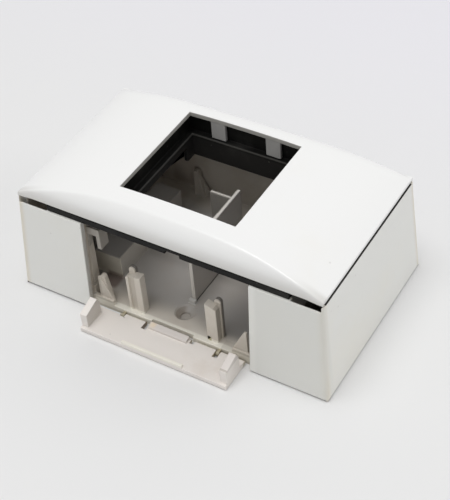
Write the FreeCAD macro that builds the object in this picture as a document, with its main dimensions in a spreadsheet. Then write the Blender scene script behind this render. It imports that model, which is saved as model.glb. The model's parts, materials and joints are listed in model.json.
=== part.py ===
"""Surface-mounting box with a two-module cover frame, as a parametric document.

Millimetres, +Z up.  X runs along the box, the cable entry faces -Y, and the wall face is z = 0.
"""
import FreeCAD, Part
import math
import os
from types import SimpleNamespace

import Sketcher
from FreeCAD import Vector

doc = FreeCAD.newDocument("SurfaceBox")

# Driving dimensions, in mm and degrees
DIMENSIONS = {
    # base box
    "base_length": 125.0,
    "base_depth": 73.4,
    "base_height": 40.9,
    "wall_draft": 4.0,
    "wall_thickness": 2.2,
    "floor_thickness": 2.6,
    "corner_radius": 1.4,
    "saddle_drop": 2.1,
    "side_edge": 0.7,
    "rebate_lip": 0.7,
    "rebate_start": 47.8,
    "rebate_depth": 2.4,
    # cable entry in the front wall
    "entry_width": 65.6,
    "sill_front": 33.9,
    "sill_recess": 1.0,
    "jamb_width": 2.0,
    "jamb_depth": 7.6,
    "jamb_drop": 0.8,
    "jamb_groove_start": 2.0,
    "jamb_groove_width": 1.4,
    "jamb_groove_depth": 1.2,
    "jamb_notch_low": 7.6,
    "jamb_notch_height": 1.8,
    "lip_inner": 24.4,
    "lip_depth": 1.5,
    "lip_height": 4.8,
    "gusset_setback": 0.6,
    "gusset_thickness": 1.1,
    "gusset_outer": 30.4,
    "gusset_top": 14.3,
    "gusset_top_outer": 30.3,
    "gusset_top_inner": 29.2,
    "fin_centre": 28.6,
    "fin_radius": 1.1,
    "fin_thickness": 1.4,
    "fin_foot_inner": 25.4,
    "fin_foot_outer": 30.2,
    "fin_top": 14.9,
    "hook_inner": 27.9,
    "hook_arm": 1.7,
    "hook_front": 31.2,
    "hook_depth": 4.6,
    "hook_drop": 3.4,
    "hook_bridge": 3.4,
    "hook_height": 9.0,
    # posts beside the entry
    "left_post_inner": 12.3,
    "left_post_outer": 18.6,
    "left_post_flange": 1.2,
    "left_post_groove": 2.5,
    "left_post_groove_depth": 0.8,
    "right_post_inner": 13.7,
    "right_post_outer": 18.1,
    "post_front": 32.4,
    "post_depth": 3.2,
    "post_inner_height": 20.2,
    "post_outer_height": 18.5,
    "post_eye_start": 0.4,
    "post_eye_width": 1.1,
    "post_eye_height": 1.7,
    "post_eye_depth": 0.6,
    "tongue_centre": 17.3,
    "tongue_radius": 1.3,
    "tongue_thickness": 1.4,
    "tongue_top": 21.2,
    # hollow benches along the floor
    "bench_inner": 29.6,
    "bench_width": 10.9,
    "bench_front": 20.6,
    "bench_rear": 21.2,
    "bench_height": 12.3,
    "bench_wall": 1.8,
    # wall fixing holes
    "fixing_spacing": 50.0,
    "fixing_hole": 3.8,
    "fixing_head": 7.8,
    # divider plate
    "divider_thickness": 1.4,
    "divider_front": 18.8,
    "divider_rear": 16.0,
    "divider_top": 28.0,
    "divider_groove": 0.8,
    "divider_wing": 8.2,
    "divider_wing_rear": 11.7,
    "divider_play": 0.05,
    "divider_stop_depth": 1.5,
    "divider_stop_height": 4.2,
    # snap fit of the support frame
    "snap_centre": 40.0,
    "snap_width": 6.0,
    "snap_catch": 0.8,
    "snap_drop": 5.2,
    "claw_front": 31.0,
    "claw_thickness": 1.3,
    "claw_nose": 0.9,
    "claw_reach": 6.9,
    # support frame
    "frame_length": 94.6,
    "frame_depth": 66.6,
    "frame_thickness": 2.6,
    "collar_width": 51.6,
    "collar_wall": 1.6,
    "collar_rise": 6.9,
    "ledge_rise": 0.6,
    "aperture_width": 43.2,
    "skirt_wall": 1.7,
    "skirt_drop": 8.4,
    "frame_notch_start": 0.9,
    "frame_notch_width": 5.6,
    "frame_notch_depth": 1.6,
    "frame_notch_height": 1.4,
    # cover frame
    "cover_length": 118.8,
    "cover_depth": 67.2,
    "cover_gap": 0.5,
    "cover_rim": 0.9,
    "cover_height": 10.6,
    "cover_wall": 2.0,
    "roll_depth": 5.6,
    "roll_radius": 13.0,
    "opening_width": 45.0,
    "leg_inner": 8.2,
    "leg_width": 5.9,
    "leg_setback": 0.1,
    "leg_thickness": 1.4,
    "leg_play": 0.15,
    # coupling flap
    "flap_length": 59.6,
    "flap_front": 47.7,
    "flap_thickness": 2.0,
    "hinge_y": 35.2,
    "hinge_z": 1.05,
    "bead_radius": 0.95,
    "pin_radius": 0.5,
    "pin_play": 0.06,
    "ear_radius": 1.0,
    "ear_centre": 19.6,
    "ear_width": 1.1,
    "slit_centre": 9.4,
    "slit_width": 1.8,
    "slit_end": 38.0,
    "relief_end": 36.0,
    "cheek_width": 2.8,
    "cheek_front": 46.5,
    "cheek_rear": 38.2,
    "cheek_top": 10.0,
    "cheek_bevel": 1.3,
    "cheek_bevel_height": 2.2,
    "cheek_front_top": 7.8,
    "latch_half": 7.9,
    "latch_front": 37.3,
    "latch_rear": 34.9,
    "latch_height": 1.6,
    "latch_front_height": 1.0,
    "rib_half": 12.4,
    "rib_width": 1.2,
    "rib_height": 1.2,
}

sheet = doc.addObject("Spreadsheet::Sheet", "Dims")
for row, (alias, number) in enumerate(DIMENSIONS.items(), start=1):
    sheet.set(f"A{row}", alias)
    sheet.set(f"B{row}", str(number))
    sheet.setAlias(f"B{row}", alias)
doc.recompute()


class Size:
    """A length that carries both its present value and the sheet expression behind it."""

    def __init__(self, value, text):
        self.value = value
        self.text = text

    def __add__(self, other):
        other = as_size(other)
        return Size(self.value + other.value, f"({self.text} + {other.text})")

    def __sub__(self, other):
        other = as_size(other)
        return Size(self.value - other.value, f"({self.text} - {other.text})")

    def __mul__(self, other):
        other = as_size(other)
        return Size(self.value * other.value, f"({self.text} * {other.text})")

    def __truediv__(self, other):
        other = as_size(other)
        return Size(self.value / other.value, f"({self.text} / {other.text})")

    def __neg__(self):
        return Size(-self.value, f"(-1 * {self.text})")


def as_size(number):
    return number if isinstance(number, Size) else Size(float(number), str(float(number)))


def tangent(angle):
    return Size(math.tan(math.radians(angle.value)), f"tan({angle.text} * 1 deg)")


dims = SimpleNamespace(**{alias: Size(number, f"Dims.{alias}") for alias, number in DIMENSIONS.items()})
OVERSHOOT = as_size(1.0)
EMBED = as_size(0.5)
HALF_CIRCLE = "half circle"
lean = tangent(dims.wall_draft)

# Heights that follow the box height
saddle_height = dims.base_height - dims.saddle_drop
jamb_height = saddle_height - dims.jamb_drop
hook_top = saddle_height - dims.hook_drop
hook_slot_top = hook_top - dims.hook_bridge
hook_bottom = hook_top - dims.hook_height
snap_height = saddle_height - dims.snap_drop
frame_top = saddle_height + dims.frame_thickness
ledge_height = frame_top + dims.ledge_rise
collar_top = frame_top + dims.collar_rise
skirt_bottom = saddle_height - dims.skirt_drop
cover_bottom = frame_top + dims.cover_gap
cover_crown = cover_bottom + dims.cover_height


# Shared helpers
def bind(thing, name, size):
    thing.setExpression(name, as_size(size).text)


def new_body(label):
    body = doc.addObject("PartDesign::Body", label)
    body.Label = label
    return body


def origin_plane(body, role):
    return next(item for item in body.Origin.OriginFeatures if item.Role == role)


def attach(thing, body, role, offset):
    thing.AttachmentSupport = (origin_plane(body, role), [""])
    thing.MapMode = "FlatFace"
    bind(thing, "AttachmentOffset.Base.z", offset)


def new_sketch(body, name, role, offset=0.0):
    sketch = body.newObject("Sketcher::SketchObject", name)
    attach(sketch, body, role, offset)
    return sketch


def place_point(sketch, geometry, end, x, y):
    for kind, size in (("DistanceX", x), ("DistanceY", y)):
        index = sketch.addConstraint(Sketcher.Constraint(kind, -1, 1, geometry, end, size.value))
        sketch.setExpression(f"Constraints[{index}]", size.text)


def arc_between(start, end, radius):
    """Arc from start to end; a positive radius bulges to the right of the way from start to end."""
    chord = end - start
    middle = (start + end) / 2
    right = Vector(chord.y, -chord.x, 0).normalize()
    bulge = abs(radius) - math.sqrt(max(radius * radius - (chord.Length / 2) ** 2, 0.0))
    return Part.Arc(start, middle + right * math.copysign(bulge, radius), end)


def add_edge(sketch, corner, following):
    """Line to the following corner, or an arc if the corner has a third item. Returns its two ends."""
    start = Vector(corner[0].value, corner[1].value, 0)
    end = Vector(following[0].value, following[1].value, 0)
    if len(corner) == 2:
        sketch.addGeometry(Part.LineSegment(start, end))
        return 1, 2
    half_circle = corner[2] is HALF_CIRCLE
    radius = (end - start).Length / 2 if half_circle else corner[2].value
    index = sketch.addGeometry(arc_between(start, end, radius))
    if half_circle:
        # the centre lies level with the chord, which fixes the arc where its radius could not
        along_x = abs(end.x - start.x) > abs(end.y - start.y)
        kind, size = ("DistanceY", corner[1]) if along_x else ("DistanceX", corner[0])
        constraint = sketch.addConstraint(Sketcher.Constraint(kind, -1, 1, index, 3, size.value))
    else:
        size = corner[2] if radius > 0 else -corner[2]
        constraint = sketch.addConstraint(Sketcher.Constraint("Radius", index, size.value))
    sketch.setExpression(f"Constraints[{constraint}]", size.text)
    # an arc is kept counter-clockwise, so one that bulges to the left has its ends exchanged
    return (1, 2) if radius > 0 else (2, 1)


def add_outline(sketch, points):
    """Closed outline of (x, y) corners; a third item, a radius or HALF_CIRCLE, rounds the next edge."""
    corners = [[size if size is HALF_CIRCLE else as_size(size) for size in point] for point in points]
    first = sketch.GeometryCount
    count = len(corners)
    ends = [add_edge(sketch, corner, corners[(index + 1) % count]) for index, corner in enumerate(corners)]
    for index in range(count):
        after = (index + 1) % count
        sketch.addConstraint(Sketcher.Constraint(
            "Coincident", first + index, ends[index][1], first + after, ends[after][0]))
    for index, corner in enumerate(corners):
        place_point(sketch, first + index, ends[index][0], corner[0], corner[1])


def add_box(sketch, x_low, x_high, y_low, y_high):
    add_outline(sketch, [(x_low, y_low), (x_high, y_low), (x_high, y_high), (x_low, y_high)])


def add_circle(sketch, x, y, radius):
    x, y, radius = as_size(x), as_size(y), as_size(radius)
    circle = Part.Circle(Vector(x.value, y.value, 0), Vector(0, 0, 1), radius.value)
    index = sketch.addGeometry(circle)
    place_point(sketch, index, 3, x, y)
    constraint = sketch.addConstraint(Sketcher.Constraint("Radius", index, radius.value))
    sketch.setExpression(f"Constraints[{constraint}]", radius.text)


def mirrored_points(points, side):
    """The same outline on the chosen side of the sketch's upright axis."""
    return [(as_size(point[0]) * side, *point[1:]) for point in points]


def grow(body, kind, name, sketch, length, reverse=False, symmetric=False):
    feature = body.newObject(kind, name)
    feature.Profile = sketch
    feature.SideType = "Symmetric" if symmetric else "One side"
    feature.Reversed = reverse
    bind(feature, "Length", length)
    feature.Refine = True
    doc.recompute()
    return feature


def pad(body, name, sketch, length, **options):
    return grow(body, "PartDesign::Pad", name, sketch, length, **options)


def pocket(body, name, sketch, length, **options):
    return grow(body, "PartDesign::Pocket", name, sketch, length, **options)


def mirror(body, name, features, role):
    copy = body.newObject("PartDesign::Mirrored", name)
    copy.Originals = features
    copy.MirrorPlane = (origin_plane(body, role), [""])
    body.Tip = copy
    doc.recompute()
    return copy


def wedge(body, kind, name, bottom, top, half_length, half_depth):
    """Upright frustum: half sizes at the wall face, leaning in with the wall draft."""
    solid = body.newObject(kind, name)
    attach(solid, body, "XZ_Plane", 0.0)
    bind(solid, "Ymin", bottom)
    bind(solid, "Ymax", top)
    for axis, half in (("X", half_length), ("Z", half_depth)):
        bind(solid, f"{axis}min", -(half - bottom * lean))
        bind(solid, f"{axis}max", half - bottom * lean)
        bind(solid, f"{axis}2min", -(half - top * lean))
        bind(solid, f"{axis}2max", half - top * lean)
    doc.recompute()
    return solid


def round_edges(body, name, base, radius, wanted):
    """Fillet on the edges of base for which wanted(edge) is true."""
    names = [f"Edge{i}" for i, edge in enumerate(base.Shape.Edges, start=1) if wanted(edge)]
    fillet = body.newObject("PartDesign::Fillet", name)
    fillet.Base = (base, names)
    bind(fillet, "Radius", radius)
    doc.recompute()
    return fillet


def front_face(height):
    """Outer face of the drafted front wall at a height."""
    return -(dims.base_depth / 2 - as_size(height) * lean)


# Base box
base = new_body("base_box")
half_length = dims.base_length / 2
half_depth = dims.base_depth / 2
half_entry = dims.entry_width / 2


def is_upright_corner(edge):
    return abs(edge.Vertexes[0].Z - edge.Vertexes[-1].Z) > DIMENSIONS["base_height"] / 2


def base_walls():
    shell = wedge(base, "PartDesign::AdditiveWedge", "OuterWalls", as_size(0.0), dims.base_height,
                  half_length, half_depth)
    round_edges(base, "CornerRounds", shell, dims.corner_radius, is_upright_corner)
    wedge(base, "PartDesign::SubtractiveWedge", "Cavity", dims.floor_thickness,
          dims.base_height + OVERSHOOT, half_length - dims.wall_thickness, half_depth - dims.wall_thickness)
    saddle = new_sketch(base, "SaddleSketch", "XZ_Plane")
    saddle_half = half_length - dims.base_height * lean - dims.side_edge
    add_box(saddle, -saddle_half, saddle_half, saddle_height, dims.base_height + OVERSHOOT)
    pocket(base, "Saddles", saddle, dims.base_depth, symmetric=True)
    rebate = new_sketch(base, "RebateSketch", "XY_Plane", saddle_height)
    lip = front_face(saddle_height) + dims.rebate_lip
    inside = front_face(saddle_height) + dims.wall_thickness + OVERSHOOT
    for side in (-1, 1):
        add_outline(rebate, mirrored_points([
            (dims.rebate_start, lip),
            (saddle_half, lip),
            (saddle_half, inside),
            (dims.rebate_start, inside),
        ], side))
    front = pocket(base, "WallRebates", rebate, dims.rebate_depth)
    mirror(base, "RearWallRebates", [front], "XZ_Plane")


def base_entry():
    outside = -(half_depth + OVERSHOOT)
    inside = front_face(saddle_height) + dims.wall_thickness + OVERSHOOT
    wall = new_sketch(base, "EntrySketch", "XY_Plane", dims.floor_thickness)
    add_box(wall, -half_entry, half_entry, outside, inside)
    pocket(base, "Entry", wall, dims.base_height, reverse=True)
    sill = new_sketch(base, "SillSketch", "XY_Plane")
    add_box(sill, -half_entry, half_entry, outside, -dims.sill_front)
    pocket(base, "Sill", sill, dims.floor_thickness + OVERSHOOT, reverse=True)


def base_jambs():
    low = dims.floor_thickness - EMBED
    rear = front_face(low) + dims.jamb_depth
    jamb = new_sketch(base, "JambSketch", "YZ_Plane", half_entry)
    add_outline(jamb, [
        (front_face(low) + OVERSHOOT, low),
        (rear, low),
        (rear, jamb_height),
        (front_face(jamb_height) + OVERSHOOT, jamb_height),
    ])
    right = pad(base, "Jamb", jamb, dims.jamb_width)
    mirror(base, "Jambs", [right], "YZ_Plane")
    groove = new_sketch(base, "JambGrooveSketch", "YZ_Plane")
    near = dims.jamb_groove_start
    far = near + dims.jamb_groove_width
    top = saddle_height + OVERSHOOT
    add_outline(groove, [
        (front_face(dims.lip_height) + near, dims.lip_height),
        (front_face(dims.lip_height) + far, dims.lip_height),
        (front_face(top) + far, top),
        (front_face(top) + near, top),
    ])
    pocket(base, "JambGrooves", groove, (half_entry + dims.jamb_groove_depth) * 2, symmetric=True)
    notch = new_sketch(base, "JambNotchSketch", "YZ_Plane")
    notch_top = dims.jamb_notch_low + dims.jamb_notch_height
    inner = rear + OVERSHOOT
    add_outline(notch, [
        (front_face(dims.jamb_notch_low) + near, dims.jamb_notch_low),
        (inner, dims.jamb_notch_low),
        (inner, notch_top),
        (front_face(notch_top) + near, notch_top),
    ])
    pocket(base, "JambNotches", notch, (half_entry + dims.jamb_groove_depth) * 2, symmetric=True)


def base_lips():
    lips = new_sketch(base, "LipSketch", "XY_Plane")
    outer = half_entry + EMBED
    for side in (-1, 1):
        add_outline(lips, mirrored_points([
            (dims.lip_inner, -dims.sill_front),
            (outer, -dims.sill_front),
            (outer, dims.lip_depth - dims.sill_front),
            (dims.lip_inner, dims.lip_depth - dims.sill_front),
        ], side))
    pad(base, "Lips", lips, dims.lip_height)
    recess = new_sketch(base, "SillRecessSketch", "XY_Plane")
    half = dims.slit_centre - dims.slit_width / 2
    add_box(recess, -half, half, -(dims.sill_front + OVERSHOOT), dims.sill_recess - dims.sill_front)
    pocket(base, "SillRecess", recess, dims.floor_thickness + OVERSHOOT, reverse=True)


def base_gussets():
    """Sloping gussets at the entry and again at the rear wall, the left ones backed by a round-topped fin."""
    low = dims.floor_thickness - EMBED
    front = dims.sill_front - dims.gusset_setback
    gusset = new_sketch(base, "GussetSketch", "XZ_Plane", front)
    for side in (-1, 1):
        add_outline(gusset, mirrored_points([
            (dims.lip_inner, low),
            (dims.gusset_outer, low),
            (dims.gusset_top_outer, dims.gusset_top),
            (dims.gusset_top_inner, dims.gusset_top),
            (dims.lip_inner, dims.lip_height),
        ], side))
    fin = new_sketch(base, "FinSketch", "XZ_Plane", front - dims.gusset_thickness + EMBED)
    shoulder = dims.fin_top - dims.fin_radius
    add_outline(fin, [
        (-dims.fin_foot_outer, low),
        (-dims.fin_foot_inner, low),
        (dims.fin_radius - dims.fin_centre, shoulder, HALF_CIRCLE),
        (-(dims.fin_centre + dims.fin_radius), shoulder),
    ])
    gussets = pad(base, "Gussets", gusset, dims.gusset_thickness, reverse=True)
    fins = pad(base, "Fin", fin, dims.fin_thickness + EMBED, reverse=True)
    mirror(base, "RearGussets", [gussets, fins], "XZ_Plane")


def base_benches():
    """Hollow benches along the floor, left and right of the divider."""
    bench = new_sketch(base, "BenchSketch", "XY_Plane", dims.floor_thickness - EMBED)
    hollow = new_sketch(base, "BenchHollowSketch", "XY_Plane")
    outer = dims.bench_inner + dims.bench_width
    wall = dims.bench_wall
    for side in (-1, 1):
        add_outline(bench, mirrored_points([
            (dims.bench_inner, -dims.bench_front),
            (outer, -dims.bench_front),
            (outer, dims.bench_rear),
            (dims.bench_inner, dims.bench_rear),
        ], side))
        add_outline(hollow, mirrored_points([
            (dims.bench_inner + wall, wall - dims.bench_front),
            (outer - wall, wall - dims.bench_front),
            (outer - wall, dims.bench_rear - wall),
            (dims.bench_inner + wall, dims.bench_rear - wall),
        ], side))
    pad(base, "Benches", bench, dims.bench_height - dims.floor_thickness + EMBED)
    pocket(base, "BenchHollows", hollow, dims.bench_height - wall, reverse=True)


def base_hinge_ears():
    ear = new_sketch(base, "EarSketch", "YZ_Plane", dims.ear_centre - dims.ear_width / 2)
    root = EMBED - dims.sill_front
    low = dims.hinge_z - dims.ear_radius
    high = dims.hinge_z + dims.ear_radius
    add_outline(ear, [
        (root, low),
        (root, high),
        (-dims.hinge_y, high, HALF_CIRCLE),
        (-dims.hinge_y, low),
    ])
    right = pad(base, "HingeEar", ear, dims.ear_width)
    mirror(base, "HingeEars", [right], "YZ_Plane")
    bore = new_sketch(base, "HingeBoreSketch", "YZ_Plane")
    add_circle(bore, -dims.hinge_y, dims.hinge_z, dims.pin_radius + dims.pin_play)
    pocket(base, "HingeBores", bore, (dims.ear_centre + dims.ear_width) * 2, symmetric=True)


def base_hook():
    hook = new_sketch(base, "HookSketch", "XZ_Plane", dims.hook_front)
    arm = dims.hook_inner + dims.hook_arm
    outer = half_entry + EMBED
    add_outline(hook, [
        (-outer, hook_top),
        (-dims.hook_inner, hook_top),
        (-dims.hook_inner, hook_bottom),
        (-arm, hook_bottom),
        (-arm, hook_slot_top),
        (-outer, hook_slot_top),
    ])
    pad(base, "Hook", hook, dims.hook_depth, reverse=True)


def base_posts():
    """Posts behind the sill, the left one grooved and the right one plain, each backed by a round tongue."""
    low = dims.floor_thickness - EMBED
    post = new_sketch(base, "PostSketch", "XZ_Plane", dims.post_front)
    sides = ((-1, dims.left_post_inner, dims.left_post_outer), (1, dims.right_post_inner, dims.right_post_outer))
    for side, inner, outer in sides:
        add_outline(post, mirrored_points([
            (inner, low),
            (outer, low),
            (outer, dims.post_outer_height),
            (inner, dims.post_inner_height),
        ], side))
    pad(base, "Posts", post, dims.post_depth, reverse=True)
    groove = new_sketch(base, "PostGrooveSketch", "XY_Plane", dims.floor_thickness)
    flange = dims.left_post_flange - dims.left_post_outer
    add_box(groove, flange, flange + dims.left_post_groove, -(dims.post_front + OVERSHOOT),
            dims.left_post_groove_depth - dims.post_front)
    pocket(base, "PostGroove", groove, dims.post_inner_height, reverse=True)
    eye = new_sketch(base, "PostEyeSketch", "XZ_Plane", dims.post_front)
    eye_left = dims.right_post_inner + dims.post_eye_start
    add_box(eye, eye_left, eye_left + dims.post_eye_width, dims.floor_thickness,
            dims.floor_thickness + dims.post_eye_height)
    pocket(base, "PostEye", eye, dims.post_eye_depth)
    tongue = new_sketch(base, "TongueSketch", "XZ_Plane", dims.post_front - dims.post_depth + EMBED)
    shoulder = dims.tongue_top - dims.tongue_radius
    for side in (-1, 1):
        left = dims.tongue_centre * side - dims.tongue_radius
        right = dims.tongue_centre * side + dims.tongue_radius
        add_outline(tongue, [
            (left, low),
            (right, low),
            (right, shoulder, HALF_CIRCLE),
            (left, shoulder),
        ])
    pad(base, "Tongues", tongue, dims.tongue_thickness + EMBED, reverse=True)


def base_fixings():
    holes = new_sketch(base, "FixingSketch", "XY_Plane", dims.floor_thickness)
    for side in (-1, 1):
        add_circle(holes, 0.0, dims.fixing_spacing / 2 * side, dims.fixing_hole / 2)
    doc.recompute()
    fixing = base.newObject("PartDesign::Hole", "Fixings")
    fixing.Profile = holes
    doc.recompute()
    fixing.DepthType = "ThroughAll"
    fixing.HoleCutType = "Countersink"
    fixing.HoleCutCustomValues = True
    fixing.HoleCutCountersinkAngle = 90.0
    bind(fixing, "Diameter", dims.fixing_hole)
    bind(fixing, "HoleCutDiameter", dims.fixing_head)
    doc.recompute()


def divider_outline(play):
    """Upright plate with a short wing on its left, grown by the play on every side."""
    half = dims.divider_thickness / 2 + play
    wing_end = -(dims.divider_thickness / 2 + dims.divider_wing + play)
    wing_front = dims.divider_wing_rear - dims.divider_thickness - play
    wing_rear = dims.divider_wing_rear + play
    return [
        (half, -(dims.divider_front + play)),
        (half, dims.divider_rear + play),
        (-half, dims.divider_rear + play),
        (-half, wing_rear),
        (wing_end, wing_rear),
        (wing_end, wing_front),
        (-half, wing_front),
        (-half, -(dims.divider_front + play)),
    ]


def base_divider_seat():
    seat = new_sketch(base, "DividerSeatSketch", "XY_Plane", dims.floor_thickness)
    add_outline(seat, divider_outline(dims.divider_play))
    pocket(base, "DividerSeat", seat, dims.divider_groove)
    stop = new_sketch(base, "DividerStopSketch", "XY_Plane", dims.floor_thickness - EMBED)
    rear = -(dims.divider_front + dims.divider_play * 2)
    add_box(stop, -dims.divider_thickness, dims.divider_thickness, rear - dims.divider_stop_depth, rear)
    pad(base, "DividerStop", stop, dims.divider_stop_height - dims.floor_thickness + EMBED)


def base_snap_catches():
    """Ridges inside the front and rear walls, over which the support frame's claws snap."""
    catch = new_sketch(base, "CatchSketch", "YZ_Plane", dims.snap_centre - dims.snap_width / 2)
    for side in (-1, 1):
        wall = (half_depth - snap_height * lean - dims.wall_thickness) * side
        inward = dims.snap_catch * -side
        add_outline(catch, [
            (wall - inward * 1.25, snap_height),
            (wall + inward, snap_height),
            (wall + inward, snap_height + dims.snap_catch),
            (wall - inward * 1.25, snap_height + dims.snap_catch * 3),
        ])
    right = pad(base, "SnapCatch", catch, dims.snap_width)
    mirror(base, "SnapCatches", [right], "YZ_Plane")


base_walls()
base_entry()
base_jambs()
base_lips()
base_gussets()
base_benches()
base_hinge_ears()
base_hook()
base_posts()
base_fixings()
base_divider_seat()
base_snap_catches()


# Divider plate
divider = new_body("divider_plate")


def divider_plate():
    foot = dims.floor_thickness - dims.divider_groove
    plate = new_sketch(divider, "DividerSketch", "XY_Plane", foot)
    add_outline(plate, divider_outline(as_size(0.0)))
    pad(divider, "DividerPlate", plate, dims.divider_top - foot)


divider_plate()


# Support frame
frame = new_body("support_frame")


def frame_plate():
    plate = new_sketch(frame, "PlateSketch", "XY_Plane", saddle_height)
    add_box(plate, -dims.frame_length / 2, dims.frame_length / 2, -dims.frame_depth / 2, dims.frame_depth / 2)
    pad(frame, "Plate", plate, dims.frame_thickness)
    notch = new_sketch(frame, "NotchSketch", "XZ_Plane", dims.frame_depth / 2 + OVERSHOOT)
    add_box(notch, dims.frame_notch_start, dims.frame_notch_start + dims.frame_notch_width,
            saddle_height - OVERSHOOT, saddle_height + dims.frame_notch_height)
    pocket(frame, "Notch", notch, dims.frame_notch_depth + OVERSHOOT)


def square(sketch, width):
    add_box(sketch, -width / 2, width / 2, -width / 2, width / 2)


def frame_collar():
    collar = new_sketch(frame, "CollarSketch", "XY_Plane", saddle_height)
    square(collar, dims.collar_width)
    pad(frame, "Collar", collar, collar_top - saddle_height)
    skirt = new_sketch(frame, "SkirtSketch", "XY_Plane", skirt_bottom)
    square(skirt, dims.aperture_width + dims.skirt_wall * 2)
    pad(frame, "Skirt", skirt, saddle_height - skirt_bottom + EMBED)
    seat = new_sketch(frame, "LedgeSketch", "XY_Plane", collar_top)
    square(seat, dims.collar_width - dims.collar_wall * 2)
    pocket(frame, "Ledge", seat, collar_top - ledge_height)
    aperture = new_sketch(frame, "ApertureSketch", "XY_Plane", collar_top)
    square(aperture, dims.aperture_width)
    pocket(frame, "Aperture", aperture, collar_top - skirt_bottom + OVERSHOOT)


def frame_claws():
    claw = new_sketch(frame, "ClawSketch", "YZ_Plane", dims.snap_centre - dims.snap_width / 2)
    top = saddle_height + EMBED
    low = saddle_height - dims.claw_reach
    nose_top = low + dims.claw_nose * 1.5
    for side in (-1, 1):
        face = dims.claw_front * side
        back = (dims.claw_front - dims.claw_thickness) * side
        tip = (dims.claw_front + dims.claw_nose) * side
        add_outline(claw, [
            (back, top),
            (back, low),
            (face, low),
            (tip, low + dims.claw_nose),
            (tip, nose_top),
            (face, nose_top),
            (face, top),
        ])
    right = pad(frame, "Claw", claw, dims.snap_width)
    mirror(frame, "Claws", [right], "YZ_Plane")


frame_plate()
frame_collar()
frame_claws()


# Cover frame
cover = new_body("cover_frame")


def cover_dome(body, name, inset):
    """Domed block: a profile rolled at the front and rear, cut to a crown arched along its length."""
    half_span = dims.cover_length / 2 - inset
    depth = dims.cover_depth / 2 - inset
    bottom = cover_bottom - inset
    rim = cover_bottom + dims.cover_rim - inset
    top = cover_crown - inset
    edge = depth - dims.roll_depth
    profile = new_sketch(body, f"{name}Profile", "YZ_Plane")
    add_outline(profile, [
        (-depth, bottom),
        (depth, bottom),
        (depth, rim, dims.roll_radius),
        (edge, top),
        (-edge, top, dims.roll_radius),
        (-depth, rim),
    ])
    pad(body, f"{name}Block", profile, half_span * 2, symmetric=True)
    crown = new_sketch(body, f"{name}Crown", "XZ_Plane")
    rise = top - rim
    radius = (half_span * half_span + rise * rise) / (rise * 2)
    add_outline(crown, [
        (-half_span, rim, -radius),
        (half_span, rim),
        (half_span + OVERSHOOT, rim),
        (half_span + OVERSHOOT, top + OVERSHOOT),
        (-(half_span + OVERSHOOT), top + OVERSHOOT),
        (-(half_span + OVERSHOOT), rim),
    ])
    pocket(body, f"{name}Arch", crown, dims.cover_depth * 2, symmetric=True)


def cover_legs():
    foot = ledge_height + dims.leg_play
    legs = new_sketch(cover, "LegSketch", "XY_Plane", foot)
    near = dims.opening_width / 2 + dims.leg_setback
    far = near + dims.leg_thickness
    for side_x in (-1, 1):
        for side_y in (-1, 1):
            add_outline(legs, [
                (dims.leg_inner * side_x, near * side_y),
                ((dims.leg_inner + dims.leg_width) * side_x, near * side_y),
                ((dims.leg_inner + dims.leg_width) * side_x, far * side_y),
                (dims.leg_inner * side_x, far * side_y),
            ])
    pad(cover, "Legs", legs, cover_crown - dims.cover_wall - foot)


def cover_frame():
    cover_dome(cover, "Outer", as_size(0.0))
    hollow = new_body("cover_hollow")
    cover_dome(hollow, "Hollow", dims.cover_wall)
    shell = cover.newObject("PartDesign::Boolean", "Hollowed")
    shell.setObjects([hollow])
    shell.Type = "Cut"
    doc.recompute()
    opening = new_sketch(cover, "OpeningSketch", "XY_Plane", cover_crown + OVERSHOOT)
    square(opening, dims.opening_width)
    pocket(cover, "Opening", opening, cover_crown - cover_bottom + OVERSHOOT * 2)
    cover_legs()


cover_frame()


# Coupling flap
flap = new_body("front_flap")


def flap_plate():
    plate = new_sketch(flap, "FlapSketch", "XY_Plane")
    add_box(plate, -dims.flap_length / 2, dims.flap_length / 2, -dims.flap_front, -dims.hinge_y)
    pad(flap, "FlapPlate", plate, dims.flap_thickness)
    bead = new_sketch(flap, "BeadSketch", "YZ_Plane")
    add_circle(bead, -dims.hinge_y, dims.hinge_z, dims.bead_radius)
    pad(flap, "Bead", bead, dims.flap_length, symmetric=True)
    slits = new_sketch(flap, "SlitSketch", "XY_Plane", dims.flap_thickness + OVERSHOOT)
    rear = dims.bead_radius + OVERSHOOT - dims.hinge_y
    for centre in (dims.slit_centre, dims.ear_centre):
        for side in (-1, 1):
            add_outline(slits, mirrored_points([
                (centre - dims.slit_width / 2, -dims.slit_end),
                (centre + dims.slit_width / 2, -dims.slit_end),
                (centre + dims.slit_width / 2, rear),
                (centre - dims.slit_width / 2, rear),
            ], side))
    pocket(flap, "Slits", slits, dims.flap_thickness + OVERSHOOT * 2)
    relief = new_sketch(flap, "ReliefSketch", "XY_Plane", dims.flap_thickness + OVERSHOOT)
    add_box(relief, -(dims.flap_length / 2 + OVERSHOOT), -dims.ear_centre, -dims.relief_end, rear)
    pocket(flap, "LeftRelief", relief, dims.flap_thickness + OVERSHOOT * 2)
    pin = new_sketch(flap, "PinSketch", "YZ_Plane", dims.ear_centre - dims.slit_width / 2 - EMBED)
    add_circle(pin, -dims.hinge_y, dims.hinge_z, dims.pin_radius)
    right = pad(flap, "HingePin", pin, dims.slit_width + EMBED * 2)
    mirror(flap, "HingePins", [right], "YZ_Plane")


def flap_cheeks():
    low = dims.flap_thickness - EMBED
    cheek = new_sketch(flap, "CheekSketch", "YZ_Plane", dims.flap_length / 2 - dims.cheek_width)
    add_outline(cheek, [
        (-dims.cheek_front, low),
        (-dims.cheek_rear, low),
        (-dims.cheek_rear, dims.cheek_top - dims.cheek_bevel_height),
        (-(dims.cheek_rear + dims.cheek_bevel), dims.cheek_top),
        (-dims.cheek_front, dims.cheek_front_top),
    ])
    right = pad(flap, "Cheek", cheek, dims.cheek_width)
    mirror(flap, "Cheeks", [right], "YZ_Plane")


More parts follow.
